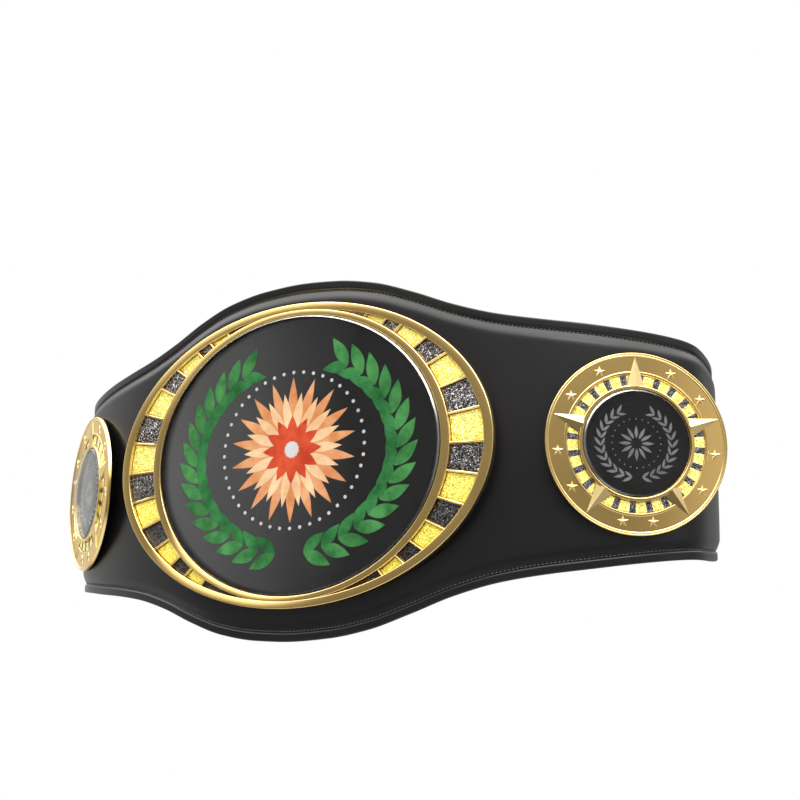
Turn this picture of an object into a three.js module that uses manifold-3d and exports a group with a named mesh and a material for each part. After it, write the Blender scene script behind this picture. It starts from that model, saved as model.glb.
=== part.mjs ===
// Championship title belt: a padded leather strap worn round the waist, an oval main plate
// with glitter inlays at the front, a round plate at each side and two snaps at the back.
// Millimetres, +Z up, +X to the viewer's right, the viewer on the -Y side.
// The origin is the middle of the hollow where the waist sits.

import * as THREE from 'three';
import { ConvexGeometry } from 'three/addons/geometries/ConvexGeometry.js';
import { mergeVertices } from 'three/addons/utils/BufferGeometryUtils.js';
import Module from 'manifold-3d';

const wasm = await Module();
wasm.setup();

// Gaps between pieces
const seatGap = 0.3;
const inlayGap = 0.45;

// Strap
const strapHalfRound = 612;
const strapHalfHeight = 127.6;
const stripThickness = 2.4;
const flangeWidth = 7;
const flangeCurl = 1.6;
const panelInset = 8.5;
const panelRise = 2;
const shoulderWidth = 24;
const overlapLength = 60;
const overlapRamp = 40;
const panelEndLength = 8;
const curlFadeLength = 45;
const panelEndThinning = 0.6;
const flangeCrest = { inset: 0.42, rise: 0.85 };
const backHalfStart = 0.6;

// Snaps
const snapSpacing = 48;
const snapCapRadius = 7.5;
const snapCapHeight = 3;
const snapPostRadius = 2.5;
const snapHeadHeight = 1.6;
const snapEdge = 0.6;
const snapCrownShare = 0.7;

// Main plate, from its disc outwards
const discHalfWidth = 117;
const discHalfHeight = 99.5;
const bezelSideWidth = 6.5;
const bezelTopWidth = 3.9;
const fieldSideWidth = 24.2;
const ringSideWidth = 6.9;
const ringTopWidth = 5.4;
const ringLap = 0.8;
const plateThickness = 5;
const plateFloor = 1;
const plateBend = 1580;
const plateLift = 2.3;
const plateEdgeBevel = 0.8;
const wallThickness = 1.6;
const wallSink = 0.8;
const inlayThickness = 0.7;
const discThickness = 1.1;
const domeRimSink = 0.9;
const domeCrown = 2.2;
const domeShoulder = 6;

// Side plates, from the disc outwards
const sidePlateRun = 241;
const sidePlateSeat = 10;
const sideWellRadius = 36.6;
const sideBezelWidth = 2.4;
const tileWidth = 7.6;
const bandBevelWidth = 2;
const sideBandWidth = 11;
const sideRimWidth = 1.9;
const sideThickness = 2.8;
const sideFloor = 0.8;
const sideRimRise = 0.45;
const tileThickness = 0.6;
const sideBezelRise = 1.2;
const sideDiscThickness = 0.8;
const sideDomeCrown = 3.2;
const sideDomeShoulder = 4;
const pointTipInset = 2.9;
const pointRoot = 1;
const pointHalfWidth = 6.2;
const pointRidge = 2.2;
const pointCount = 5;
const starInset = 4.6;
const starRadius = 4.1;
const starWaist = 0.42;
const starRise = 1.1;

// Facets
const ovalSides = 48;
const sideSides = 36;
const snapSides = 12;

// Direction of the strap seen from above, at shares of the way from front to back
const planRows = [
  { run: 0.0, turn: 0 },
  { run: 0.098, turn: 4.3 },
  { run: 0.163, turn: 12 },
  { run: 0.245, turn: 17 },
  { run: 0.31, turn: 23.5 },
  { run: 0.392, turn: 34.6 },
  { run: 0.441, turn: 52 },
  { run: 0.49, turn: 91 },
  { run: 0.539, turn: 99.6 },
  { run: 0.605, turn: 130 },
  { run: 0.686, turn: 165 },
  { run: 0.727, turn: 172 },
  { run: 1.0, turn: 180 },
];

// Height of the strap as shares of its height at the front
const heightRows = [
  { run: 0.0, height: 1.0 },
  { run: 0.049, height: 0.988 },
  { run: 0.098, height: 0.949 },
  { run: 0.147, height: 0.873 },
  { run: 0.196, height: 0.784 },
  { run: 0.245, height: 0.719 },
  { run: 0.294, height: 0.68 },
  { run: 0.343, height: 0.651 },
  { run: 0.392, height: 0.621 },
  { run: 0.458, height: 0.585 },
  { run: 0.523, height: 0.56 },
  { run: 0.735, height: 0.4 },
  { run: 1.0, height: 0.38 },
];

// Number of even steps in each stretch of the strap, front to back
const stepRows = [
  { until: 0.392, steps: 9 },
  { until: 0.56, steps: 10 },
  { until: 0.735, steps: 6 },
];

// Rise of the padded panel from its sewn edge to its flat middle
const shoulderRows = [
  { inset: 0, rise: 0.12 },
  { inset: 0.1, rise: 0.58 },
  { inset: 0.36, rise: 0.86 },
  { inset: 1, rise: 1 },
];

// Walls between the inlays on both sides, top to bottom: angle above the level line,
// as a share of the angle where the crescent of inlays runs out
const wallShares = [
  0.776, 0.669, 0.589, 0.462, 0.355, 0.232, 0.111,
  -0.013, -0.129, -0.246, -0.356, -0.469, -0.562, -0.669,
];
const sliverEnd = 0.87;

// Small stars of a side plate, in degrees from the top, on both sides
const starAngles = [27, 55, 97, 125, 169];

// Colours
const leather = { color: 0x272527, roughness: 0.42, metalness: 0 };
const gold = { color: 0xd8b050, roughness: 0.3, metalness: 1 };
const goldGlitter = { color: 0xf0cc3c, roughness: 0.55, metalness: 0.6 };
const blackGlitter = { color: 0x3b3a3d, roughness: 0.5, metalness: 0.4 };
const blackDisc = { color: 0x2c2b2d, roughness: 0.5, metalness: 0 };
const clearDome = { color: 0xf4f6f8, roughness: 0.05, metalness: 0, transparent: true, opacity: 0.22 };

const degrees = Math.PI / 180;

// A geometry from loose triangles, turned to face outwards
function facingOut(points, triangles) {
  let volume = 0;
  for (const [a, b, c] of triangles) {
    volume += points[a].dot(points[b].clone().cross(points[c]));
  }
  const order = volume < 0 ? [0, 2, 1] : [0, 1, 2];
  const geometry = new THREE.BufferGeometry().setFromPoints(points);
  geometry.setIndex(triangles.flatMap((corners) => order.map((k) => corners[k])));
  return geometry;
}

// The same for a geometry of any class
function cleaned(geometry) {
  const plain = geometry.clone();
  plain.deleteAttribute('normal');
  plain.deleteAttribute('uv');
  const merged = mergeVertices(plain, 1e-4);
  const spots = merged.getAttribute('position');
  const points = [];
  for (let i = 0; i < spots.count; i += 1) {
    points.push(new THREE.Vector3().fromBufferAttribute(spots, i));
  }
  const corners = merged.getIndex().array;
  const triangles = [];
  for (let i = 0; i < corners.length; i += 3) {
    const [a, b, c] = [corners[i], corners[i + 1], corners[i + 2]];
    if (a !== b && b !== c && a !== c) {
      triangles.push([a, b, c]);
    }
  }
  return facingOut(points, triangles);
}

function solidOf(geometry) {
  const clean = cleaned(geometry);
  const vertProperties = new Float32Array(clean.getAttribute('position').array);
  const triVerts = new Uint32Array(clean.getIndex().array);
  return new wasm.Manifold(new wasm.Mesh({ numProp: 3, vertProperties, triVerts }));
}

function geometryOf(solid) {
  const mesh = solid.getMesh();
  const geometry = new THREE.BufferGeometry();
  const spots = new Float32Array(mesh.vertProperties);
  geometry.setAttribute('position', new THREE.BufferAttribute(spots, 3));
  geometry.setIndex(Array.from(mesh.triVerts));
  return geometry;
}

function joined(geometries) {
  const solids = geometries.map(solidOf);
  return geometryOf(solids.reduce((whole, piece) => whole.add(piece)));
}

function piece(name, geometry, finish) {
  const shown = geometry.toNonIndexed();
  shown.computeVertexNormals();
  const mesh = new THREE.Mesh(shown, new THREE.MeshStandardMaterial(finish));
  mesh.name = name;
  return mesh;
}

// Triangles that fill an outline, turned the way the outline runs
function capTriangles(outline) {
  const flip = THREE.ShapeUtils.isClockWise(outline);
  return THREE.ShapeUtils.triangulateShape(outline, []).map(([a, b, c]) => (flip ? [a, c, b] : [a, b, c]));
}

// Rings of points joined into a closed body: a tube with two end caps, or a closed loop
function loft(rings, flatSection) {
  const count = rings[0].length;
  const points = rings.flat();
  const triangles = [];
  const bands = flatSection ? rings.length - 1 : rings.length;
  for (let i = 0; i < bands; i += 1) {
    const here = i * count;
    const next = ((i + 1) % rings.length) * count;
    for (let k = 0; k < count; k += 1) {
      const after = (k + 1) % count;
      triangles.push([here + k, next + k, next + after]);
      triangles.push([here + k, next + after, here + after]);
    }
  }
  if (flatSection) {
    const last = (rings.length - 1) * count;
    for (const [a, b, c] of capTriangles(flatSection)) {
      triangles.push([a, b, c]);
      triangles.push([last + a, last + c, last + b]);
    }
  }
  return facingOut(points, triangles);
}

// A body with an outline in width and height, between two depths
function prism(outline, front, back, place) {
  const near = outline.map((spot) => place(spot.x, front, spot.y));
  const far = outline.map((spot) => place(spot.x, back, spot.y));
  return loft([near, far], outline);
}

// A smooth line through one column of a table, without overshoot
function smoothColumn(rows, column, startSlope) {
  const runs = rows.map((row) => row.run);
  const values = rows.map((row) => row[column]);
  const slopes = runs.slice(1).map((run, i) => (values[i + 1] - values[i]) / (run - runs[i]));
  const last = slopes.length;
  const tangents = runs.map((run, i) => {
    if (i === 0) {
      return startSlope ?? slopes[0];
    }
    if (i === last) {
      return slopes[last - 1];
    }
    const product = slopes[i - 1] * slopes[i];
    return product > 0 ? (2 * product) / (slopes[i - 1] + slopes[i]) : 0;
  });
  return (share) => {
    const at = Math.min(Math.max(share, 0), 1);
    const i = Math.min(runs.filter((run) => run <= at).length - 1, last - 1);
    const width = runs[i + 1] - runs[i];
    const t = (at - runs[i]) / width;
    const stay = (1 + 2 * t) * (1 - t) ** 2;
    const leave = t * (1 - t) ** 2;
    const arrive = t ** 2 * (3 - 2 * t);
    const settle = t ** 2 * (t - 1);
    return (
      stay * values[i] +
      leave * width * tangents[i] +
      arrive * values[i + 1] +
      settle * width * tangents[i + 1]
    );
  };
}

const turnAt = smoothColumn(planRows, 'turn');
const heightAt = smoothColumn(heightRows, 'height', 0);
const rampAt = (value, from, to) => THREE.MathUtils.smoothstep(value, from, to);

// The line that the strap's edge follows, seen from above: its right half
function walkPlan() {
  const walked = [{ x: 0, y: 0 }];
  for (let run = 1; run <= strapHalfRound; run += 1) {
    const turn = turnAt((run - 0.5) / strapHalfRound) * degrees;
    const last = walked[run - 1];
    walked.push({ x: last.x + Math.cos(turn), y: last.y + Math.sin(turn) });
  }
  return walked;
}

const plan = walkPlan();
const closing = plan[plan.length - 1];
const middle = closing.y / 2;

// Place on that line; the small leftover in width is shared out over the back half
function planPoint(run) {
  const side = Math.sign(run) || 1;
  const far = Math.min(Math.abs(run), strapHalfRound);
  const low = Math.min(Math.floor(far), plan.length - 2);
  const part = far - low;
  const x = plan[low].x * (1 - part) + plan[low + 1].x * part;
  const y = plan[low].y * (1 - part) + plan[low + 1].y * part;
  const backShare = Math.max(far / strapHalfRound - backHalfStart, 0) / (1 - backHalfStart);
  const past = Math.abs(run) - far;
  const turn = turnAt(far / strapHalfRound) * degrees;
  return {
    x: side * (x - closing.x * backShare - past),
    y: y - middle,
    outX: side * Math.sin(turn),
    outY: -Math.cos(turn),
    turn: side * turn,
  };
}

// Distances along the strap where it has a section, front to back
function strapRuns() {
  const panelEnd = strapHalfRound - overlapLength / 2 - overlapRamp - panelEndLength;
  const runs = [0];
  for (const { until, steps } of stepRows) {
    const start = runs[runs.length - 1];
    const stop = until * strapHalfRound;
    for (let i = 1; i <= steps; i += 1) {
      runs.push(start + ((stop - start) * i) / steps);
    }
  }
  const bent = runs[runs.length - 1];
  runs.push((bent + panelEnd) / 2, panelEnd - panelEndLength, panelEnd);
  const rampEnd = strapHalfRound - overlapLength / 2;
  runs.push(panelEnd + overlapRamp / 2, rampEnd - panelEndLength / 2);
  runs.push(strapHalfRound, strapHalfRound + overlapLength / 2);
  return { runs, panelEnd };
}

const { runs: halfRuns, panelEnd } = strapRuns();
const stations = [...halfRuns.slice(1).reverse().map((run) => -run), ...halfRuns];

function strapSpot(run, out, height) {
  const at = planPoint(run);
  return new THREE.Vector3(at.x + out * at.outX, at.y + out * at.outY, height);
}

// The ends step apart where they overlap: the right one outside, the left one inside
function overlapShift(run) {
  const start = strapHalfRound - overlapLength / 2 - overlapRamp;
  const stop = start + overlapRamp - panelEndLength / 2;
  const step = (stripThickness + seatGap) / 2;
  return Math.sign(run) * step * rampAt(Math.abs(run), start, stop);
}

function stripSection(run) {
  const half = strapHalfHeight * heightAt(Math.abs(run) / strapHalfRound);
  const curl = flangeCurl * (1 - rampAt(Math.abs(run), panelEnd - curlFadeLength, panelEnd));
  const shift = overlapShift(run);
  const flangeRows = [
    { inset: 0, rise: curl },
    { inset: flangeCrest.inset, rise: curl * flangeCrest.rise },
    { inset: 1, rise: 0 },
  ];
  const base = shift - flangeCurl;
  const low = flangeRows.map(({ inset, rise }) => [base + rise, inset * flangeWidth - half]);
  const high = low.map(([out, height]) => [out, -height]).reverse();
  const front = [...low, ...high];
  const back = front.map(([out, height]) => [out - stripThickness, height]).reverse();
  return [...front, ...back];
}

function panelSection(run) {
  const half = strapHalfHeight * heightAt(Math.abs(run) / strapHalfRound) - panelInset;
  const thin = rampAt(Math.abs(run), panelEnd - panelEndLength, panelEnd);
  const back = seatGap - flangeCurl;
  const deep = (panelRise - back) * (1 - panelEndThinning * thin);
  const edge = half - panelEndLength * thin;
  const low = shoulderRows.map(({ inset, rise }) => [
    back + deep * rise,
    inset * shoulderWidth - edge,
  ]);
  const high = low.map(([out, height]) => [out, -height]).reverse();
  return [...low, ...high, [back, edge], [back, -edge]];
}

function strapBody(runs, section) {
  const rings = runs.map((run) => section(run).map(([out, height]) => strapSpot(run, out, height)));
  const flat = section(runs[0]).map(([out, height]) => new THREE.Vector2(out, height));
  return loft(rings, flat);
}

// A snap through both strap ends: cap outside, post, flat head inside
function snapGeometry(reach) {
  const half = reach / 2;
  const profile = [
    [0, -half - snapHeadHeight],
    [snapCapRadius - snapEdge, -half - snapHeadHeight],
    [snapCapRadius, -half - snapHeadHeight / 2],
    [snapCapRadius, -half],
    [snapPostRadius, -half],
    [snapPostRadius, half],
    [snapCapRadius, half],
    [snapCapRadius, half + snapCapHeight / 2],
    [snapCapRadius * snapCrownShare, half + snapCapHeight],
    [0, half + snapCapHeight],
  ];
  const points = profile.map(([radius, along]) => new THREE.Vector2(radius, along));
  return cleaned(new THREE.LatheGeometry(points, snapSides));
}

function snapPlaces() {
  const at = planPoint(strapHalfRound);
  const out = -flangeCurl - stripThickness / 2;
  return [-1, 1].map((side) => new THREE.Vector3(0, at.y + out * at.outY, (side * snapSpacing) / 2));
}

function buildStrap() {
  const group = new THREE.Group();
  const strip = solidOf(strapBody(stations, stripSection));
  const tall = 4 * stripThickness;
  const bore = snapPostRadius + seatGap;
  const drill = new THREE.CylinderGeometry(bore, bore, tall, snapSides);
  const holes = snapPlaces().map((place) => {
    const hole = drill.clone();
    hole.translate(place.x, place.y, place.z);
    return solidOf(hole);
  });
  const drilled = holes.reduce((whole, hole) => whole.subtract(hole), strip);
  group.add(piece('strap_backing', geometryOf(drilled), leather));

  const panelRuns = stations.filter((run) => Math.abs(run) <= panelEnd);
  group.add(piece('padded_panel', strapBody(panelRuns, panelSection), leather));

  const reach = 2 * stripThickness + 3 * seatGap;
  snapPlaces().forEach((place, i) => {
    const snap = piece(`back_snap_${i === 0 ? 'lower' : 'upper'}`, snapGeometry(reach), gold);
    snap.position.copy(place);
    group.add(snap);
  });
  return group;
}

// The main plate is bent round an upright axis behind it; depth runs back from its front
const plateFront = planPoint(0).y - panelRise - seatGap - plateThickness;

function onPlate(x, depth, z) {
  const round = x / plateBend;
  const reach = plateBend - depth;
  return new THREE.Vector3(
    reach * Math.sin(round),
    plateFront + plateBend - reach * Math.cos(round),
    z + plateLift,
  );
}

// Oval rows of points joined from the first to the last; a row of no width is a point
function ovalBody(rows) {
  const points = [];
  const triangles = [];
  const starts = rows.map(({ a, b, depth }) => {
    const start = points.length;
    const sides = a === 0 ? 1 : ovalSides;
    for (let k = 0; k < sides; k += 1) {
      const angle = (2 * Math.PI * k) / ovalSides;
      points.push(onPlate(a * Math.cos(angle), depth, b * Math.sin(angle)));
    }
    return start;
  });
  const closed = rows[0].a !== 0;
  const bands = closed ? rows.length : rows.length - 1;
  for (let i = 0; i < bands; i += 1) {
    const j = (i + 1) % rows.length;
    const here = (k) => starts[i] + (rows[i].a === 0 ? 0 : k % ovalSides);
    const next = (k) => starts[j] + (rows[j].a === 0 ? 0 : k % ovalSides);
    for (let k = 0; k < ovalSides; k += 1) {
      if (rows[i].a !== 0) {
        triangles.push([here(k), next(k), here(k + 1)]);
      }
      if (rows[j].a !== 0) {
        triangles.push([next(k), next(k + 1), here(k + 1)]);
      }
    }
  }
  return facingOut(points, triangles);
}

const fieldDepth = plateThickness - plateFloor;
const bezelInner = { a: discHalfWidth, b: discHalfHeight };
const bezelOuter = { a: discHalfWidth + bezelSideWidth, b: discHalfHeight + bezelTopWidth };
const ringInner = { a: bezelOuter.a + fieldSideWidth, b: bezelOuter.b - ringLap };
const ringOuter = { a: ringInner.a + ringSideWidth, b: ringInner.b + ringTopWidth };
const row = (oval, inset, depth) => ({ a: oval.a - inset, b: oval.b - inset, depth });
const discHalf = row(bezelInner, inlayGap, 0);
const discInner = { a: discHalf.a / 2, b: discHalf.b / 2 };
const centre = { a: 0, b: 0 };

// Distance from the plate's middle to an oval, at an angle
function ovalReach({ a, b }, angle) {
  return (a * b) / Math.hypot(b * Math.cos(angle), a * Math.sin(angle));
}

function plateDish() {
  return ovalBody([
    row(centre, 0, fieldDepth),
    row(discInner, 0, fieldDepth),
    row(discHalf, 0, fieldDepth),
    row(ringInner, 0, fieldDepth),
    row(ringInner, 0, plateEdgeBevel),
    row(ringInner, -plateEdgeBevel, 0),
    row(ringOuter, plateEdgeBevel, 0),
    row(ringOuter, 0, plateEdgeBevel),
    row(ringOuter, 0, plateThickness),
    row(discInner, 0, plateThickness),
    row(centre, 0, plateThickness),
  ]);
}

function plateBezel() {
  const rooted = fieldDepth + plateFloor / 2;
  return ovalBody([
    row(bezelInner, 0, rooted),
    row(bezelInner, 0, plateEdgeBevel),
    row(bezelInner, -plateEdgeBevel, 0),
    row(bezelOuter, plateEdgeBevel, 0),
    row(bezelOuter, 0, plateEdgeBevel),
    row(bezelOuter, 0, rooted),
  ]);
}

function plateWall(side, angle) {
  const along = new THREE.Vector2(side * Math.cos(angle), Math.sin(angle));
  const across = new THREE.Vector2(-along.y, along.x).multiplyScalar(wallThickness / 2);
  const from = ovalReach(bezelOuter, angle) - bezelTopWidth / 2;
  const to = ovalReach(ringInner, angle) + ringTopWidth / 2;
  const near = along.clone().multiplyScalar(from);
  const far = along.clone().multiplyScalar(to);
  const outline = [
    near.clone().add(across),
    near.clone().sub(across),
    far.clone().sub(across),
    far.clone().add(across),
  ];
  return prism(outline, wallSink, fieldDepth + plateFloor / 2, onPlate);
}

// The angle where the ring and the bezel meet and the crescent between them runs out
function crescentEnd() {
  const across = 1 / ringInner.a ** 2 - 1 / bezelOuter.a ** 2;
  const upright = 1 / bezelOuter.b ** 2 - 1 / ringInner.b ** 2;
  return Math.atan(Math.sqrt(across / upright));
}

const wallAngles = wallShares.map((share) => share * crescentEnd());

// Angles between which each field lies, top to bottom
function fieldAngles() {
  const end = sliverEnd * crescentEnd();
  const ends = [end, ...wallAngles, -end];
  return ends.slice(1).map((low, i) => ({
    high: ends[i],
    low,
    wallAbove: i > 0,
    wallBelow: i < wallAngles.length,
  }));
}

function inlayOutline(side, { high, low, wallAbove, wallBelow }) {
  const steps = 2;
  const clear = wallThickness / 2 + inlayGap;
  const arc = (oval, shift) => {
    const spots = [];
    for (let i = 0; i <= steps; i += 1) {
      const reach = ovalReach(oval, low + ((high - low) * i) / steps) + shift;
      const bottom = low + (wallBelow ? clear / reach : 0);
      const top = high - (wallAbove ? clear / reach : 0);
      const angle = bottom + ((top - bottom) * i) / steps;
      const place = ovalReach(oval, angle) + shift;
      spots.push(new THREE.Vector2(side * place * Math.cos(angle), place * Math.sin(angle)));
    }
    return spots;
  };
  return [...arc(ringInner, -inlayGap), ...arc(bezelOuter, inlayGap).reverse()];
}

function buildMainPlate() {
  const group = new THREE.Group();
  const sides = [
    { name: 'left', side: -1 },
    { name: 'right', side: 1 },
  ];
  const walls = sides.flatMap(({ side }) => wallAngles.map((angle) => plateWall(side, angle)));
  group.add(piece('main_plate', joined([plateDish(), plateBezel(), ...walls]), gold));

  const inlayBack = fieldDepth - seatGap;
  for (const { name, side } of sides) {
    fieldAngles().forEach((field, i) => {
      const black = i % 2 === 0;
      const number = String(i + 1).padStart(2, '0');
      const label = `${name}_inlay_${number}_${black ? 'black' : 'gold'}`;
      const body = prism(inlayOutline(side, field), inlayBack - inlayThickness, inlayBack, onPlate);
      group.add(piece(label, body, black ? blackGlitter : goldGlitter));
    });
  }

  const discBack = fieldDepth - seatGap;
  const discFront = discBack - discThickness;
  const disc = ovalBody([
    row(centre, 0, discFront),
    row(discInner, 0, discFront),
    row(discHalf, 0, discFront),
    row(discHalf, 0, discBack),
    row(discInner, 0, discBack),
    row(centre, 0, discBack),
  ]);
  group.add(piece('main_disc', disc, blackDisc));

  const domeBack = discFront - seatGap;
  const dome = ovalBody([
    row(centre, 0, -domeCrown),
    row(discInner, 0, -domeCrown * 0.85),
    row(discHalf, domeShoulder, -domeCrown * 0.5),
    row(discHalf, domeShoulder * 0.3, -domeCrown * 0.1),
    row(discHalf, 0, domeRimSink),
    row(discHalf, 0, domeBack),
    row(discInner, 0, domeBack),
    row(centre, 0, domeBack),
  ]);
  group.add(piece('main_dome', dome, clearDome));
  return group;
}

// Side plates in their own frame: front rim at y = 0, depth along +y
const flatPlace = (x, depth, z) => new THREE.Vector3(x, depth, z);
const sideFloorDepth = sideThickness - sideFloor;
const tileInner = sideWellRadius + sideBezelWidth;
const tileOuter = tileInner + tileWidth;
const bandInner = tileOuter + bandBevelWidth;
const rimInner = bandInner + sideBandWidth;
const sideRadius = rimInner + sideRimWidth;
const pointBase = tileInner - pointRoot;
const pointTip = sideRadius - pointTipInset;
const starRing = bandInner + starInset;

function turned(profile, sides) {
  const points = profile.map(([radius, depth]) => new THREE.Vector2(radius, depth));
  return cleaned(new THREE.LatheGeometry(points, sides));
}

function sideDish() {
  return turned([
    [0, sideThickness],
    [sideRadius, sideThickness],
    [sideRadius, sideRimRise],
    [sideRadius - sideRimWidth * 0.3, 0],
    [sideRadius - sideRimWidth * 0.8, 0],
    [rimInner, sideRimRise],
    [bandInner, sideRimRise],
    [tileOuter, sideRimRise * 2.5],
    [tileOuter, sideFloorDepth],
    [tileInner, sideFloorDepth],
    [tileInner, -sideBezelRise * 0.7],
    [tileInner - sideBezelWidth * 0.3, -sideBezelRise],
    [sideWellRadius, -sideBezelRise],
    [sideWellRadius, sideFloorDepth],
    [0, sideFloorDepth],
  ], sideSides);
}

// A ridged point of the big star, from the inner bezel to just inside the rim
function starPoint(angle) {
  const along = new THREE.Vector2(Math.sin(angle), Math.cos(angle));
  const across = new THREE.Vector2(along.y, -along.x);
  const spot = (reach, aside, depth) => new THREE.Vector3(
    along.x * reach + across.x * aside,
    depth,
    along.y * reach + across.y * aside,
  );
  const rooted = sideFloorDepth + sideFloor / 2;
  const corners = [
    spot(pointBase, 0, -pointRidge),
    spot(pointTip, 0, sideRimRise * 0.2),
  ];
  for (const depth of [sideRimRise * 0.4, rooted]) {
    corners.push(spot(pointBase, -pointHalfWidth, depth));
    corners.push(spot(pointBase, pointHalfWidth, depth));
    corners.push(spot(pointTip, 0, depth));
  }
  return new ConvexGeometry(corners);
}

function starOutline() {
  const spots = [];
  for (let k = 0; k < 2 * pointCount; k += 1) {
    const reach = k % 2 === 0 ? starRadius : starRadius * starWaist;
    const angle = (k * Math.PI) / pointCount;
    spots.push(new THREE.Vector2(reach * Math.sin(angle), reach * Math.cos(angle)));
  }
  return spots;
}

// A small upright star with its ridges meeting over its middle
function smallStar(angle) {
  const outline = starOutline();
  const rooted = sideRimRise + sideFloor / 2;
  const points = outline.map((spot) => new THREE.Vector3(spot.x, rooted, spot.y));
  const top = points.push(new THREE.Vector3(0, sideRimRise - starRise, 0)) - 1;
  const triangles = outline.map((spot, k) => [k, (k + 1) % outline.length, top]);
  for (const [a, b, c] of capTriangles(outline)) {
    triangles.push([a, c, b]);
  }
  const star = facingOut(points, triangles);
  star.translate(starRing * Math.sin(angle), 0, starRing * Math.cos(angle));
  return star;
}

// One fifth of the glitter ring, between two points of the big star
function tileOutline(index) {
  const steps = 5;
  const outer = tileOuter - inlayGap;
  const inner = tileInner + inlayGap;
  const slope = pointHalfWidth / (pointTip - pointBase);
  const clear = inlayGap * Math.hypot(1, slope);
  const edge = (reach) => Math.asin((slope * (pointTip - reach) + clear) / reach);
  const pitch = (2 * Math.PI) / pointCount;
  const arc = (reach) => {
    const from = index * pitch + edge(reach);
    const to = (index + 1) * pitch - edge(reach);
    const spots = [];
    for (let i = 0; i <= steps; i += 1) {
      const angle = from + ((to - from) * i) / steps;
      spots.push(new THREE.Vector2(reach * Math.sin(angle), reach * Math.cos(angle)));
    }
    return spots;
  };
  return [...arc(outer), ...arc(inner).reverse()];
}

function buildSidePlate(name) {
  const group = new THREE.Group();
  const points = [];
  for (let k = 0; k < pointCount; k += 1) {
    points.push(starPoint((k * 2 * Math.PI) / pointCount));
  }
  const mirrored = [...starAngles, ...starAngles.map((angle) => -angle)];
  const stars = mirrored.map((angle) => smallStar(angle * degrees));
  group.add(piece(`${name}_plate`, joined([sideDish(), ...points, ...stars]), gold));

  const tileBack = sideFloorDepth - seatGap;
  for (let k = 0; k < pointCount; k += 1) {
    const tiles = prism(tileOutline(k), tileBack - tileThickness, tileBack, flatPlace);
    group.add(piece(`${name}_tiles_${k + 1}`, tiles, goldGlitter));
  }

  const wide = sideWellRadius - inlayGap;
  const discBack = sideFloorDepth - seatGap;
  const discFront = discBack - sideDiscThickness;
  const disc = turned([[0, discBack], [wide, discBack], [wide, discFront], [0, discFront]], sideSides);
  group.add(piece(`${name}_disc`, disc, blackDisc));

  const domeBack = discFront - seatGap;
  const dome = turned([
    [0, domeBack],
    [wide, domeBack],
    [wide, -sideBezelRise * 0.6],
    [wide - sideDomeShoulder * 0.3, -sideDomeCrown * 0.68],
    [wide - sideDomeShoulder, -sideDomeCrown * 0.88],
    [0, -sideDomeCrown],
  ], sideSides);
  group.add(piece(`${name}_dome`, dome, clearDome));
  return group;
}

// A side plate lies on the strap, square to it over its seat
function placeSidePlate(group, side) {
  const seat = planPoint(side * sidePlateRun);
  const before = planPoint(side * (sidePlateRun - sidePlateSeat));
  const after = planPoint(side * (sidePlateRun + sidePlateSeat));
  const turn = (before.turn + after.turn) / 2;
  const out = panelRise + seatGap + sideThickness;
  group.position.set(seat.x + out * Math.sin(turn), seat.y - out * Math.cos(turn), 0);
  group.rotation.z = turn;
  return group;
}

const belt = new THREE.Group();
belt.add(buildStrap());
belt.add(buildMainPlate());
belt.add(placeSidePlate(buildSidePlate('left_side'), -1));
belt.add(placeSidePlate(buildSidePlate('right_side'), 1));

export default belt;
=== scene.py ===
# %% [markdown]
# A championship belt is a long padded leather strap with a large oval plate at its middle and a
# round plate on either side. This lesson dresses the imported model of such a belt. The packed
# solids give every piece its place and its size, and the scene adds finer surfaces, stitches and
# finishes. The first step loads the imported model.

# %% Imported model
import bmesh
import bpy
import numpy as np
from mathutils import Matrix, Vector


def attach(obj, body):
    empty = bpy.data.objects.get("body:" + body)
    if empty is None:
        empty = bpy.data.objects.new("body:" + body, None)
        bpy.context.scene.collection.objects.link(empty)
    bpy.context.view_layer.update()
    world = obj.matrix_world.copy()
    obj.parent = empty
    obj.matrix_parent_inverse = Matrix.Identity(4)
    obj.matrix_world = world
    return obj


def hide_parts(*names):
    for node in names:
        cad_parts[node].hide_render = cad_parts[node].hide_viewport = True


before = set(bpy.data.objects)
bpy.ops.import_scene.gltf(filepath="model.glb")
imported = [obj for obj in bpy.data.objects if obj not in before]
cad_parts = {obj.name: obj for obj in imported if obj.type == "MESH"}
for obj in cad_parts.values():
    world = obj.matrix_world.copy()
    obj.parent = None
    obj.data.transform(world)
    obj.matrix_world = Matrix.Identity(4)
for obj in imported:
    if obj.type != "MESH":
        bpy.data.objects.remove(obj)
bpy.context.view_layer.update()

# %% [markdown]
# The camera stands to the right of the belt and a little under it, and looks up at the oval plate
# with a long lens, which keeps the ovals from bulging. It is placed by an azimuth, an elevation
# and a distance from a target. A small roll tilts the picture as the hand-held view does.

# %% Camera
mm = 0.001
view_azimuth, view_elevation, view_roll = np.radians([29.73, -12.83, 0.70])
view_distance = 1079.4 * mm
view_target = Vector((88.15, -113.41, 31.37)) * mm
lens_length = 72.0
sensor_width = 36.0

toward_camera = Vector((
    np.sin(view_azimuth) * np.cos(view_elevation),
    -np.cos(view_azimuth) * np.cos(view_elevation),
    np.sin(view_elevation),
))
level_right = Vector((0, 0, 1)).cross(toward_camera).normalized()
level_up = toward_camera.cross(level_right)
camera_right = np.cos(view_roll) * level_right + np.sin(view_roll) * level_up
camera_up = -np.sin(view_roll) * level_right + np.cos(view_roll) * level_up

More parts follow.
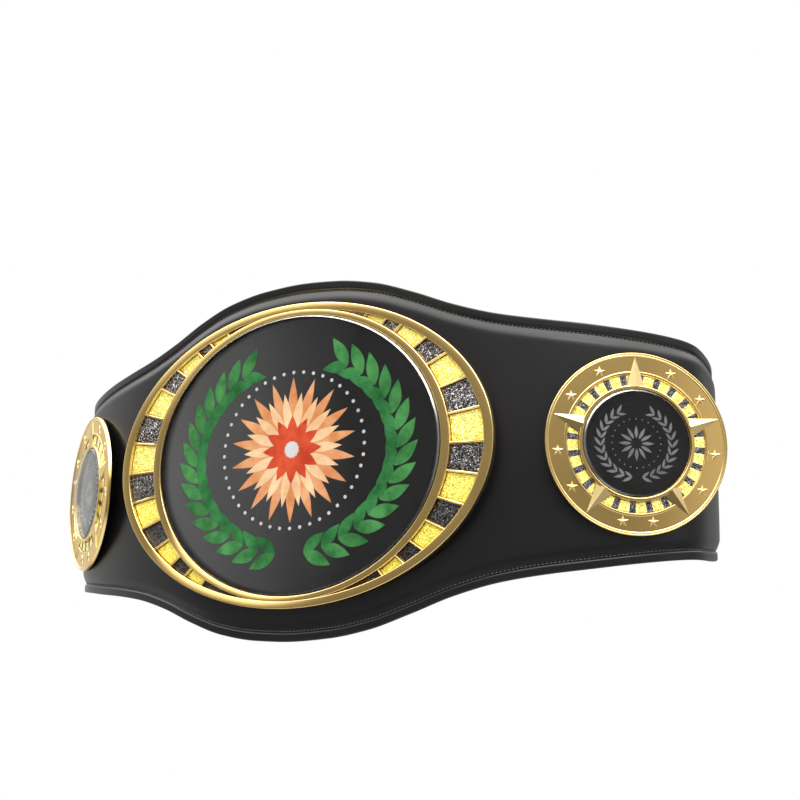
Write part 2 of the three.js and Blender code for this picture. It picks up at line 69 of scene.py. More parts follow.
camera_data = bpy.data.cameras.new("camera")
camera_data.lens = lens_length
camera_data.sensor_width = sensor_width
camera = bpy.data.objects.new("camera", camera_data)
camera_place = view_target + view_distance * toward_camera
camera.matrix_world = Matrix.Translation(camera_place) @ Matrix(
    (camera_right, camera_up, toward_camera)).transposed().to_4x4()
bpy.context.collection.objects.link(camera)
bpy.context.scene.camera = camera
print("camera at", tuple(round(v, 3) for v in camera_place))

# %% [markdown]
# Every new piece is a grid of places worked out with numpy: the rows run one way over the
# surface and the columns the other. A grid of cells becomes faces by numbering the places row by
# row. A body closes when its columns run round and its first and last rows shrink to points or
# lines. Places are worked out in millimetres, as on a drawing, and turned to metres when the
# mesh is made.

# %% Grids and meshes
def grid_faces(rows, columns):
    """Four corners of each cell of a grid whose columns run round, numbered row by row."""
    down, along = np.arange(rows - 1)[:, None] * columns, np.arange(columns)[None, :]
    below, beside = down + columns, (along + 1) % columns
    corners = (down + along, down + beside, below + beside, below + along)
    return np.stack(corners, axis=-1).reshape(-1, 4)


def shell(places, flat=0.0):
    """A grid of places as one shell: its places, its faces and its flat places."""
    rows, columns = places.shape[:2]
    flat = np.broadcast_to(flat, (rows, columns, 2))
    return places.reshape(-1, 3), grid_faces(rows, columns), flat.reshape(-1, 2)


def slab(front, back, flat):
    """A shell between two grids: each row runs along the front and returns along the back.

    At either end a closing row lies on the line half way between front and back.
    """
    seam = (front + back) / 2
    loop, closing, spread = (np.concatenate([there, here[:, ::-1]], axis=1)
                             for there, here in ((front, back), (seam, seam), (flat, flat)))
    return shell(np.concatenate([closing[:1], loop, closing[-1:]]),
                 np.concatenate([spread[:1], spread, spread[-1:]]))


def round_angles(count):
    """Even angles once round, one for each column."""
    return np.linspace(0, 2 * np.pi, count, endpoint=False)[None, :]


flat_unit = 100


def flat_places(wide, up):
    """The flat places of a grid, in tenths of a metre: the finishes draw patterns by them."""
    return np.stack(np.broadcast_arrays(wide, up), axis=-1) / flat_unit


def shell_on(place, x, depth, z):
    """A shell on a plate; place turns width, depth and height into a place in space."""
    return shell(place(x, depth, z), flat_places(x, z))


def slab_on(place, x, front, back, z):
    """A slab on a plate between two depths."""
    return slab(place(x, front, z), place(x, back, z), flat_places(x, z))


def make_piece(name, shells, node_slot, *nodes, sharp=35.0):
    """One mesh object from a list of shells: doubles merged, faces turned out, riding on the belt.

    Edges that bend by more than the sharp angle stay crisp; every other edge is shaded smooth.
    """
    starts = np.cumsum([0] + [len(places) for places, _, _ in shells[:-1]])
    places = np.concatenate([part[0] for part in shells])
    faces = np.concatenate([part[1] + start for part, start in zip(shells, starts)])
    flat = np.concatenate([part[2] for part in shells])
    mesh = bpy.data.meshes.new(name)
    mesh.from_pydata((places * mm).tolist(), [], faces.tolist())
    corners = np.empty(len(mesh.loops), np.int32)
    mesh.loops.foreach_get("vertex_index", corners)
    mesh.uv_layers.new(name="flat").data.foreach_set("uv", flat[corners].astype(np.float32).ravel())
    body = bmesh.new()
    body.from_mesh(mesh)
    bmesh.ops.remove_doubles(body, verts=body.verts, dist=1e-7)
    bmesh.ops.recalc_face_normals(body, faces=body.faces)
    body.to_mesh(mesh)
    body.free()
    mesh.shade_smooth()
    mesh.set_sharp_from_angle(angle=np.radians(sharp))
    piece = bpy.data.objects.new(name, mesh)
    bpy.context.collection.objects.link(piece)
    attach(piece, "root")
    if nodes:
        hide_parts(*nodes)
    print(f"{name}: {sum(len(f.vertices) - 2 for f in mesh.polygons)} triangles")
    return piece


print("a grid of 3 rows and 4 columns has", len(grid_faces(3, 4)), "faces")

# %% [markdown]
# The strap's edge follows one line, seen from above: almost straight behind the oval plate, bent
# at the sides and flat again at the back, where the two ends overlap. A table gives the line's
# direction at shares of its length. Walking along it in steps of a millimetre gives the line, and
# a second table gives the strap's height. Both tables pass through a smooth curve that never
# overshoots them.

# %% Line and height of the strap
half_round = 612.0
half_height = 127.6
overlap_length = 60.0
back_start = 0.6
turn_rows = np.array([
    (0, 0), (0.098, 4.3), (0.163, 12), (0.245, 17), (0.31, 23.5), (0.392, 34.6), (0.441, 52),
    (0.49, 91), (0.539, 99.6), (0.605, 130), (0.686, 165), (0.727, 172), (1, 180)])
height_rows = np.array([
    (0, 1), (0.049, 0.988), (0.098, 0.949), (0.147, 0.873), (0.196, 0.784), (0.245, 0.719),
    (0.294, 0.68), (0.343, 0.651), (0.392, 0.621), (0.458, 0.585), (0.523, 0.56), (0.735, 0.4),
    (1, 0.38)])


def smooth_table(rows, share, start_slope=None):
    """A cubic through the rows whose slope at a row is the harmonic mean of its neighbours'."""
    runs, values = rows.T
    slopes = np.diff(values) / np.diff(runs)
    product = slopes[:-1] * slopes[1:]
    total = slopes[:-1] + slopes[1:]
    inner = np.where(product > 0, 2 * product / np.where(total == 0, 1, total), 0)
    first = slopes[0] if start_slope is None else start_slope
    tangents = np.concatenate([[first], inner, [slopes[-1]]])
    at = np.clip(share, 0, 1)
    i = np.clip(np.searchsorted(runs, at, side="right") - 1, 0, len(slopes) - 1)
    width = runs[i + 1] - runs[i]
    t = (at - runs[i]) / width
    return ((1 + 2 * t) * (1 - t) ** 2 * values[i] + t * (1 - t) ** 2 * width * tangents[i]
            + t ** 2 * (3 - 2 * t) * values[i + 1] + t ** 2 * (t - 1) * width * tangents[i + 1])


def smooth_step(value, start, stop):
    """0 before the start, 1 after the stop and an even S-curve between them."""
    t = np.clip((value - start) / (stop - start), 0, 1)
    return t * t * (3 - 2 * t)


step_turns = np.radians(smooth_table(turn_rows, (np.arange(half_round) + 0.5) / half_round))
walk_x = np.concatenate([[0], np.cumsum(np.cos(step_turns))])
walk_y = np.concatenate([[0], np.cumsum(np.sin(step_turns))])
strap_middle = walk_y[-1] / 2


def plan_point(run):
    """Place on the strap's line and the direction that faces out of the loop, for any run."""
    side = np.where(run < 0, -1.0, 1.0)
    far = np.minimum(np.abs(run), half_round)
    steps = np.arange(len(walk_x))
    x = np.interp(far, steps, walk_x)
    y = np.interp(far, steps, walk_y) - strap_middle
    back_share = np.maximum(far / half_round - back_start, 0) / (1 - back_start)
    turn = np.radians(smooth_table(turn_rows, far / half_round))
    x = side * (x - walk_x[-1] * back_share - (np.abs(run) - far))
    return x, y, side * np.sin(turn), -np.cos(turn), side * turn


def strap_place(run, out, height):
    """A place at a distance along the strap, a distance out of its line and a height."""
    x, y, out_x, out_y, _ = plan_point(run)
    return np.stack(np.broadcast_arrays(x + out * out_x, y + out * out_y, height), axis=-1)


def strap_half(run):
    """Half of the strap's height."""
    return half_height * smooth_table(height_rows, np.abs(run) / half_round, 0)


print("loop depth:", round(walk_y[-1], 1), "mm; leftover width:", round(walk_x[-1], 2), "mm")

# %% [markdown]
# The strap is made of two layers. The backing is a flat strip of thick leather whose border
# stands a little forward as a flange, and its cut edge is rounded over. It is a grid with the
# distance along the strap one way and the height the other. Half the thickness on either side of
# a middle surface gives front and back, and it falls to nothing at the edge in a half circle.

# %% Backing strip
strip_thickness = 2.4
flange_curl = 1.6
flange_level = 5.0
flange_width = 7.4
seat_gap = 0.3
overlap_ramp = 40.0
panel_end_length = 8.0
curl_fade_length = 45.0
edge_round = 1.0
panel_end = half_round - overlap_length / 2 - overlap_ramp - panel_end_length
strap_end = half_round + overlap_length / 2


def overlap_shift(run):
    """The right end steps out and the left end steps in, by half a strip and a gap."""
    start = half_round - overlap_length / 2 - overlap_ramp
    step = (strip_thickness + seat_gap) / 2
    stop = start + overlap_ramp - panel_end_length / 2
    return np.sign(run) * step * smooth_step(np.abs(run), start, stop)


def rounded(inset, reach):
    """Rises from 0 to 1 as a quarter circle over the reach."""
    left = 1 - np.clip(inset / reach, 0, 1)
    return np.sqrt(np.maximum(1 - left ** 2, 0))


def flange_rise(inset):
    """The border's lip: level over its outer part, then an S-curve down into the groove."""
    return 1 - smooth_step(inset, flange_level, flange_width)


def across(half, near_edge, middle_count):
    """Heights from one edge to the other, close together by the edges: one row for each half."""
    inner = np.linspace(-1, 1, middle_count + 2)[1:-1]
    left = half[:, None] - near_edge[None, :]
    centre = (half - near_edge[-1])[:, None] * inner[None, :]
    return np.concatenate([-left, centre, left[:, ::-1]], axis=1)


strip_runs = np.concatenate([
    -strap_end + np.array([0, 0.1, 0.3, 0.6, 1.0]),
    np.linspace(-strap_end + 3, strap_end - 3, 460),
    strap_end - np.array([1.0, 0.6, 0.3, 0.1, 0])])
strip_near = np.array([
    0, 0.05, 0.15, 0.35, 0.65, 1, 1.8, 2.8, 3.8, 4.6, 5.1, 5.6, 6, 6.4, 6.8, 7.3, 8.5, 11])
strip_half = strap_half(strip_runs)
strip_heights = across(strip_half, strip_near, 13)
strip_inset = strip_half[:, None] - np.abs(strip_heights)
curl = flange_curl * (1 - smooth_step(np.abs(strip_runs), panel_end - curl_fade_length, panel_end))
strip_front = (overlap_shift(strip_runs) - flange_curl)[:, None]
strip_front = strip_front + curl[:, None] * flange_rise(strip_inset)
strip_middle = strip_front - strip_thickness / 2
thick = strip_thickness / 2 * rounded(strip_inset, edge_round)
thick = thick * rounded((strap_end - np.abs(strip_runs))[:, None], edge_round)
runs_wide = strip_runs[:, None]
strap_backing = make_piece(
    "leather_backing",
    [slab(strap_place(runs_wide, strip_middle + thick, strip_heights),
          strap_place(runs_wide, strip_middle - thick, strip_heights),
          flat_places(runs_wide, strip_inset))],
    "leather", "strap_backing", sharp=60)

# %% [markdown]
# The padded front is leather drawn over a layer of foam and sewn down along its border. It rises
# from the seam and levels off, as a pillow does: a small quarter circle is the fold at the seam,
# the shoulder is a straight slope that levels off in half a parabola, and a slower parabola adds
# the rest. Its flat places hold the distance along the strap and the distance from the strap's
# edge, so that the finish can draw puckers at the stitches.

# %% Padded front
panel_inset = 7.7
panel_rise = 2.0
fold_width, fold_share = 0.4, 0.25
shoulder_straight, shoulder_width, shoulder_share = 3.8, 7.6, 0.65
slow_width, slow_share = 26.0, 0.10


def levelling(inset, straight, width):
    """Rises from 0 to 1: straight at first, then half a parabola that is level at the width."""
    bend = np.clip(inset - straight, 0, width - straight)
    rise = np.minimum(inset, straight) + bend - bend ** 2 / (2 * (width - straight))
    return rise * 2 / (straight + width)


def pillow(inset):
    """A quarter circle at the seam, the shoulder and a slow half parabola, in shares of 1."""
    return (fold_share * rounded(inset, fold_width)
            + shoulder_share * levelling(inset, shoulder_straight, shoulder_width)
            + slow_share * levelling(inset, 0.0, slow_width))


panel_back = seat_gap - flange_curl
panel_deep = panel_rise - panel_back
end_near = np.array([0, 0.1, 0.3, 0.7, 1.3, 2.2, 3.5, 5.5, 8])
panel_runs = np.concatenate([
    -panel_end + end_near, np.linspace(-panel_end + 11, panel_end - 11, 560),
    panel_end - end_near[::-1]])
panel_near = np.array([
    0, 0.04, 0.12, 0.28, 0.5, 0.8, 1.2, 1.7, 2.4, 3.2, 4.2, 5.5, 7, 9, 11.5, 14.5, 18, 22])
end_inset = panel_end - np.abs(panel_runs)
panel_half = strap_half(panel_runs) - panel_inset
panel_half = panel_half - panel_end_length * (1 - rounded(end_inset, panel_end_length))
panel_heights = across(panel_half, panel_near, 14)
inset = panel_half[:, None] - np.abs(panel_heights)
panel_out = panel_back + panel_deep * pillow(inset) * pillow(end_inset)[:, None]
panel_wide = panel_runs[:, None]
padded_front = make_piece(
    "padded_front",
    [slab(strap_place(panel_wide, panel_out, panel_heights),
          strap_place(panel_wide, panel_back, panel_heights),
          flat_places(panel_wide, inset + panel_inset))],
    "leather", "padded_panel", sharp=60)

# %% [markdown]
# The oval plate is a casting. Its floor carries an inner bezel, an outer ring and thin walls
# between them, and the whole plate is bent round an upright line far behind it. A place on it is
# given by width, depth from the front face and height. The ring and the bezel are rows of ovals,
# and small quarter circles round their edges over, so that each edge catches a thin line of light.
# The bezel's foot and the walls' feet stand inside the floor.

# %% Oval plate
plate_thickness = 5.0
plate_floor = 1.0
plate_bend = 1580.0
plate_lift = 2.3
edge_bevel = 0.65
back_bevel = 0.4
inlay_gap = 0.45
wall_thickness = 1.6
wall_sink = 0.8
wall_into_bezel, wall_into_ring = 1.5, 2.0
disc_half = np.array([117.0, 99.5])
bezel_outer = disc_half + (6.5, 3.9)
ring_inner = bezel_outer + (24.2, -0.8)
ring_outer = ring_inner + (6.9, 5.4)
field_depth = plate_thickness - plate_floor
plate_front = plan_point(np.array(0.0))[1] - panel_rise - seat_gap - plate_thickness
oval_columns = 240
sides = (("left", -1), ("right", 1))


def on_plate(x, depth, z):
    """Bends flat places round the upright axis; depth runs back from the front face."""
    round_angle, reach = x / plate_bend, plate_bend - depth
    return np.stack(np.broadcast_arrays(
        reach * np.sin(round_angle), plate_front + plate_bend - reach * np.cos(round_angle),
        z + plate_lift), axis=-1)


def oval_rows(rows):
    """Rows of half width, half height and depth as a shell on the plate."""
    half_wide, half_tall, depth = np.array([(*oval, d) for oval, d in rows]).T[:, :, None]
    angle = round_angles(oval_columns)
    return shell_on(on_plate, half_wide * np.cos(angle), depth, half_tall * np.sin(angle))


def round_over(oval, inward):
    """Five rows that turn an upright side into the front face in a quarter circle.

    The rows run from the side to the face; inward is +1 where the face lies inside the side.
    """
    turns = np.radians([0, 22.5, 45, 67.5, 90])
    return [(oval - inward * edge_bevel * (1 - np.cos(t)), edge_bevel * (1 - np.sin(t)))
            for t in turns]


nothing = np.zeros(2)
inner_edge = round_over(ring_inner, -1)
outer_edge = round_over(ring_outer, 1)[::-1]
dish = oval_rows(
    [(nothing, field_depth), (disc_half, field_depth), (ring_inner, field_depth)]
    + inner_edge + outer_edge
    + [(ring_outer, plate_thickness - back_bevel), (ring_outer - back_bevel, plate_thickness),
       (nothing, plate_thickness)])
rooted = field_depth + plate_floor / 2
bezel = oval_rows(
    [(disc_half, rooted)] + round_over(disc_half, -1)
    + round_over(bezel_outer, 1)[::-1] + [(bezel_outer, rooted)])


def oval_reach(oval, angle):
    """Distance from the middle to an oval in a direction."""
    return oval[0] * oval[1] / np.hypot(oval[1] * np.cos(angle), oval[0] * np.sin(angle))


wall_shares = np.array([0.776, 0.669, 0.589, 0.462, 0.355, 0.232, 0.111,
                        -0.013, -0.129, -0.246, -0.356, -0.469, -0.562, -0.669])
squares = 1 / ring_inner ** 2 - 1 / bezel_outer ** 2
crescent_end = np.arctan(np.sqrt(-squares[0] / squares[1]))
wall_angles = wall_shares * crescent_end


def wall_bar(side, angle):
    """A straight bar from the bezel to the ring with a rounded top."""
    start = oval_reach(bezel_outer, angle) - wall_into_bezel
    stop = oval_reach(ring_inner, angle) + wall_into_ring
    reach = np.linspace(start, stop, 10)[:, None]
    aside = (wall_thickness / 2 * np.sin(np.radians([-90, -60, -30, 0, 30, 60, 90])))[None, :]
    fall = 1 - np.sqrt(np.maximum(1 - (2 * aside / wall_thickness) ** 2, 0))
    x = side * (reach * np.cos(angle) - aside * np.sin(angle))
    z = reach * np.sin(angle) + aside * np.cos(angle)
    return slab_on(on_plate, x, wall_sink + wall_thickness * 0.5 * fall, rooted, z)


walls = [wall_bar(side, angle) for side in (-1, 1) for angle in wall_angles]
oval_plate = make_piece("oval_plate", [dish, bezel] + walls, "gold", "main_plate", sharp=30)

# %% [markdown]
# The fields between the walls hold poured resin with glitter in it, black and gold by turns. Each
# field is a slab between two walls and the two ovals. Its front swells by a few tenths of a
# millimetre towards its middle, because resin draws down to its walls as it cures.

# %% Glitter fields
inlay_thickness = 0.7
swell_height, swell_share = 0.35, 0.3
sliver_end = 0.87
inlay_back = field_depth - seat_gap
sliver_angle = sliver_end * crescent_end
field_ends = np.array([sliver_angle, *wall_angles, -sliver_angle])


def field_slab(side, high, low, wall_above, wall_below):
    """Rows run from the bezel to the ring, columns from the lower wall to the upper one."""
    share, along = np.linspace(0, 1, 15)[:, None], np.linspace(0, 1, 19)[None, :]

    def reach_at(angle):
        inner = oval_reach(bezel_outer, angle) + inlay_gap
        outer = oval_reach(ring_inner, angle) - inlay_gap
        return inner + (outer - inner) * share

    clear = (wall_thickness / 2 + inlay_gap) / reach_at(low + (high - low) * along)
    bottom, top = low + clear * wall_below, high - clear * wall_above
    angle = bottom + (top - bottom) * along
    reach = reach_at(angle)
    swell = swell_height * (rounded(np.minimum(share, 1 - share), swell_share)
                            * rounded(np.minimum(along, 1 - along), swell_share))
    return slab_on(on_plate, side * reach * np.cos(angle), inlay_back - inlay_thickness - swell,
                   inlay_back, reach * np.sin(angle))


glitter_fields = {"black": [], "gold": []}
for name, side in sides:
    for i, (high, low) in enumerate(zip(field_ends[:-1], field_ends[1:])):
        colour = "black" if i % 2 == 0 else "gold"
        label = f"{name}_inlay_{i + 1:02d}_{colour}"
        field = field_slab(side, high, low, i > 0, i < len(wall_angles))
        glitter_fields[colour].append(make_piece(
            label.replace("inlay", "glitter_field"), [field], f"{colour}_glitter", label))

# %% [markdown]
# A dark disc fills the bezel and a clear resin dome covers it. The dome is almost level over its
# middle and turns down in a quarter circle by the bezel, as poured resin does. A slow parabola
# over the outer part joins the two, and spreads the reflections near the rim into soft lines.

# %% Disc and dome of the oval plate
disc_thickness = 1.1
disc_bevel = 0.15
dome_crown = 2.2
dome_rim_sink = 0.9
dome_round = 2.3
dome_slow = 45.0
disc_back = field_depth - seat_gap
disc_front = disc_back - disc_thickness
disc_edge = disc_half - inlay_gap
shares = np.array([0, 0.25, 0.5, 0.75, 0.9])

oval_disc = make_piece(
    "oval_disc",
    [oval_rows([(disc_edge * s, disc_front) for s in shares]
               + [(disc_edge - disc_bevel, disc_front), (disc_edge, disc_front + disc_bevel),
                  (disc_edge, disc_back)]
               + [(disc_edge * s, disc_back) for s in shares[::-1]])],
    "black_disc", "main_disc")

dome_back = disc_front - seat_gap


def dome_profile(reach, height, edge_round, slow):
    """Distances in from the rim and the dome's height at each: quarter circle plus parabola."""
    turns = np.radians(np.linspace(0, 82, 13))
    inwards = np.concatenate(
        [edge_round * (1 - np.cos(turns)), np.geomspace(edge_round, reach, 16)[1:]])
    slope = 1 - (1 - np.minimum(inwards / slow, 1)) ** 2
    return inwards, edge_round * rounded(inwards, edge_round) + (height - edge_round) * slope


oval_dome_rows = dome_profile(disc_edge[0], dome_crown + dome_rim_sink, dome_round, dome_slow)
dome_rows = [
    (disc_edge * (1 - inwards / disc_edge[0]) if inwards > dome_slow else disc_edge - inwards,
     dome_rim_sink - high) for inwards, high in zip(*oval_dome_rows)]
oval_dome = make_piece(
    "oval_dome",
    [oval_rows(dome_rows[::-1] + [(disc_edge, dome_back)]
               + [(disc_edge * s, dome_back) for s in shares[::-1]])],
    "clear_dome", "main_dome")

# %% [markdown]
# The side plates are turned castings. A profile of radius and depth, carried round an axis,
# gives the rim, the band, the well for the glitter ring and the bezel. Their place is worked out
# flat, and then turned and moved square to the strap over their seats. Five ridged points and
# small raised stars are soldered on.

# %% Side plates
side_run, side_seat = 241.0, 10.0
well_radius = 36.6
tile_inner = well_radius + 2.4
tile_outer = tile_inner + 7.6
band_inner = tile_outer + 2.0
rim_inner = band_inner + 11.0
side_radius = rim_inner + 1.9
side_thickness = 2.8
side_floor = 0.8
rim_rise = 0.45
tile_thickness = 0.6
bezel_rise = 1.2
side_floor_depth = side_thickness - side_floor
turn_columns = 192
point_count = 5


def side_frame(side):
    """Middle of a side plate's front rim and the angle that it is turned by."""
    x, y, _, _, _ = plan_point(np.array(side * side_run))
    seat_ends = side * np.array([side_run - side_seat, side_run + side_seat])
    turn = np.mean(plan_point(seat_ends)[4])
    out = panel_rise + seat_gap + side_thickness
    return np.array([x + out * np.sin(turn), y - out * np.cos(turn), 0.0]), turn


def on_side(side):
    """The function that turns places in a side plate's own frame and moves them to the strap."""
    centre, turn = side_frame(side)

    def place(x, depth, z):
        return np.stack(np.broadcast_arrays(
            centre[0] + x * np.cos(turn) - depth * np.sin(turn),
            centre[1] + x * np.sin(turn) + depth * np.cos(turn), z), axis=-1)

    return place


def turned(place, profile):
    """A profile of radius and depth carried round the side plate's axis."""
    radius, depth = np.array(profile, float).T[:, :, None]
    angle = round_angles(turn_columns)
    return shell_on(place, radius * np.sin(angle), depth, radius * np.cos(angle))


side_profile = [
    (0, side_thickness), (side_radius - 0.3, side_thickness), (side_radius, side_thickness - 0.3),
    (side_radius, 0.5), (side_radius - 0.1, 0.22), (side_radius - 0.3, 0.05),
    (side_radius - 0.55, 0), (side_radius - 1.0, 0.12), (side_radius - 1.2, rim_rise),
    (side_radius - 1.45, rim_rise), (side_radius - 1.6, 0.22),
    (side_radius - 1.9, 0.1), (side_radius - 2.2, 0.22),
    (side_radius - 2.5, rim_rise),
    (band_inner + 0.1, rim_rise), (band_inner - 0.2, rim_rise - 0.22),
    (band_inner - 0.55, rim_rise - 0.3), (tile_outer + 0.85, rim_rise - 0.3),
    (tile_outer + 0.35, rim_rise - 0.15), (tile_outer, rim_rise + 0.35),
    (tile_outer, side_floor_depth), (tile_inner, side_floor_depth),
    (tile_inner, -bezel_rise * 0.55), (tile_inner - 0.15, -bezel_rise * 0.85),
    (tile_inner - 0.55, -bezel_rise), (well_radius + 0.5, -bezel_rise),
    (well_radius + 0.15, -bezel_rise * 0.85), (well_radius, -bezel_rise * 0.55),
    (well_radius, side_floor_depth), (0, side_floor_depth)]

point_base = tile_inner - 1.0
point_tip = side_radius - 2.9
point_half_width = 6.2
point_ridge = 2.2
tip_depth, flank_depth = 0.09, 0.18


def ridged_point(place, angle):
    """A point of the big star: its ridge falls to the tip and its flanks fall to its sides."""
    way = np.linspace(0, 1, 7)[:, None]
    aside = np.array([-1, -0.5, 0, 0.5, 1])[None, :]
    reach = point_base + (point_tip - point_base) * way
    ridge = -point_ridge * (1 - way) + tip_depth * way
    depth = ridge * (1 - np.abs(aside)) + flank_depth * np.abs(aside)
    width = point_half_width * (1 - way) * aside
    x = np.sin(angle) * reach + np.cos(angle) * width
    z = np.cos(angle) * reach - np.sin(angle) * width
    return slab_on(place, x, depth, side_floor_depth + side_floor / 2, z)


star_angles = np.radians([27, 55, 97, 125, 169])
star_ring = band_inner + 4.6
star_radius = 4.1
star_waist = 0.42
star_rise = 1.1


def raised_star(place, angle):
    """An upright star whose ridges meet over its middle, on a low foot that spreads outwards."""
    turns = np.arange(2 * point_count) * np.pi / point_count
    reach = np.tile([star_radius, star_radius * star_waist], point_count)
    size = np.array([0, 0.88, 1.02, 1.02, 0])[:, None]
    depth = rim_rise + np.array([-star_rise, -0.35, 0, 0.4, 0.4])[:, None]
    x = star_ring * np.sin(angle) + size * reach * np.sin(turns)
    z = star_ring * np.cos(angle) + size * reach * np.cos(turns)
    return shell_on(place, x, depth, z)


for name, side in sides:
    place = on_side(side)
    points = [ridged_point(place, k * 2 * np.pi / point_count) for k in range(point_count)]
    stars = [raised_star(place, sign * angle) for sign in (-1, 1) for angle in star_angles]
    make_piece(f"{name}_round_plate", [turned(place, side_profile)] + points + stars,
               "gold", f"{name}_side_plate", sharp=22)

# %% [markdown]
# The glitter ring of a side plate is in five stretches between the points of the big star. Each
# stretch is a slab whose two ends slope with the sides of the points.

# %% Glitter ring, disc and dome of the side plates
tile_back = side_floor_depth - seat_gap


def tile_slab(place, index):
    """Rows run outwards and columns clockwise, between the sloping sides of two points."""
    slope = point_half_width / (point_tip - point_base)
    clear = inlay_gap * np.hypot(1, slope)
    reach = np.linspace(tile_inner + inlay_gap, tile_outer - inlay_gap, 9)[:, None]
    edge = np.arcsin((slope * (point_tip - reach) + clear) / reach)
    pitch = 2 * np.pi / point_count
    angle = index * pitch + edge + (pitch - 2 * edge) * np.linspace(0, 1, 61)[None, :]
    return slab_on(place, reach * np.sin(angle), tile_back - tile_thickness, tile_back,
                   reach * np.cos(angle))


side_disc_back = side_floor_depth - seat_gap
side_disc_thickness = 0.8
side_disc_front = side_disc_back - side_disc_thickness
side_dome_back = side_disc_front - seat_gap
side_edge = well_radius - inlay_gap
side_dome_crown = 3.2
side_dome_rim = -bezel_rise * 0.6
side_dome_round, side_dome_slow = 1.7, 14.0
side_inwards, side_height = dome_profile(
    side_edge, side_dome_crown + side_dome_rim, side_dome_round, side_dome_slow)
side_dome_rows = [(0, side_dome_back), (side_edge, side_dome_back),
                  *zip(side_edge - side_inwards, side_dome_rim - side_height)]
side_disc_rows = [(0, side_disc_back), (side_edge, side_disc_back),
                  (side_edge, side_disc_front + disc_bevel),
                  (side_edge - disc_bevel, side_disc_front), (0, side_disc_front)]
tile_rings = []
for name, side in sides:
    place = on_side(side)
    tile_rings += [
        make_piece(f"{name}_glitter_ring_{k + 1}", [tile_slab(place, k)], "gold_glitter",
                   f"{name}_side_tiles_{k + 1}") for k in range(point_count)]
    make_piece(f"{name}_round_disc", [turned(place, side_disc_rows)], "black_disc",
               f"{name}_side_disc")
    make_piece(f"{name}_round_dome", [turned(place, side_dome_rows)], "clear_dome",
               f"{name}_side_dome")

# %% [markdown]
# The padded front is sewn down with a dark thread in a groove. A stitch is a short, slightly
# bowed tube. The same few dozen faces are repeated along both edges, on the front and on the back
# of the strap, each stitch turned with the strap's line.

# %% Stitches
stitch_pitch = 2.77
stitch_length = 2.1
stitch_slant = 0.22
thread_radius = 0.36
bow_height = 0.25
end_clear = 4.0
seam_inset = 7.25


def stitches(out_from_line, bow):
    """One grid for each stitch: rings of a tube along a low arc, closed by a point at each end."""
    middle_runs = -panel_end + (np.arange(int(panel_end * 2 / stitch_pitch)) + 0.5) * stitch_pitch
    middle_runs = middle_runs[np.abs(middle_runs) < panel_end - end_clear]
    way = np.array([-1, -0.86, -0.45, 0.45, 0.86, 1])[:, None]
    girth = thread_radius * np.array([0, 0.6, 1, 1, 0.6, 0])[:, None]
    turns = round_angles(6)
    out = out_from_line + bow * (1 - way ** 2) * bow_height + girth * np.cos(turns)
    run = middle_runs[:, None, None] + stitch_length / 2 * way
    shells = []
    for sign in (-1, 1):
        height = sign * (strap_half(run) - seam_inset) + stitch_slant * way + girth * np.sin(turns)
        shells += [shell(stitch) for stitch in strap_place(run, out, height)]
    return shells


seam_front, seam_back = -flange_curl + 0.2, -flange_curl - strip_thickness - 0.02
front_stitches = make_piece("front_stitches", stitches(seam_front, 1), "leather", sharp=80)
back_stitches = make_piece("back_stitches", stitches(seam_back, -1), "leather", sharp=80)

# %% [markdown]
# Two snap fasteners close the overlapping ends at the back. Each is a turned cap outside, a post
# through both layers and a flat head inside.

# %% Snaps
snap_spacing = 48.0
snap_profile = np.array([
    (0, -4.15), (6.6, -4.15), (7.2, -3.9), (7.5, -3.4), (7.5, -2.55), (2.5, -2.55), (2.5, 2.55),
    (7.2, 2.55), (7.5, 2.8), (7.5, 3.3), (7.1, 4.0), (6.2, 4.7), (5.0, 5.2), (3.4, 5.48),
    (1.6, 5.6), (0, 5.6)])


def snap_shell(height):
    """The snap's profile of radius and distance outwards, carried round an axis at a height."""
    _, y, _, out_y, _ = plan_point(np.array(half_round))
    seat = y + (-flange_curl - strip_thickness / 2) * out_y
    radius, along = snap_profile.T[:, :, None]
    angle = round_angles(48)
    x, z = radius * np.cos(angle), height + radius * np.sin(angle)
    places = np.stack(np.broadcast_arrays(x, seat + along * np.sign(out_y), z), axis=-1)
    return shell(places, flat_places(x, z - height))


snaps = [make_piece(f"snap_{name}", [snap_shell(side * snap_spacing / 2)], "gold",
                    f"back_snap_{name}", sharp=30)
         for name, side in (("lower", -1), ("upper", 1))]

# %% [markdown]
# The disc of the oval plate carries a plain emblem: a wreath of green leaves round a rosette of
# warm petals, with a ring of pale beads between them. It is laid out as thin enamel pieces one
# to three tenths of a millimetre proud of the disc, so that it stays crisp at any size. A leaf or
# petal is a slab whose width follows a sine along its length, with a crease down its middle.

# %% Emblem of the oval disc
emblem_rise = 0.14
emblem_root = -0.05
wreath_half = np.array([84.0, 70.0])
wreath_foot, wreath_head = -82, 58
leaf_spread = 0.55
inner_length, inner_width, inner_rise = 0.86, 0.9, 0.6
petal_crease, leaf_crease = 0.5, 0.45


def on_face(place, front):
    """The function for flat places lifted off a disc's face."""
    return lambda x, lift, z: place(x, front - lift, z)


def leaf(place, root, heading, length, width, rise=emblem_rise, crease=leaf_crease):
    """A pointed leaf: half width is a sine of the way along it; its midrib lies a little lower."""
    way = np.linspace(0, 1, 11)[:, None]
    aside = np.linspace(-1, 1, 7)[None, :]
    half = width / 2 * np.sin(np.pi * way ** 0.85)
    along, off = way * length, half * aside
    x = root[0] + along * np.sin(heading) + off * np.cos(heading)
    z = root[1] + along * np.cos(heading) - off * np.sin(heading)
    lift = rise * (1 - crease * (1 - np.abs(aside))) * rounded(1 - np.abs(aside) + 0.02, 0.25)
    return slab_on(place, x, lift, emblem_root, z)


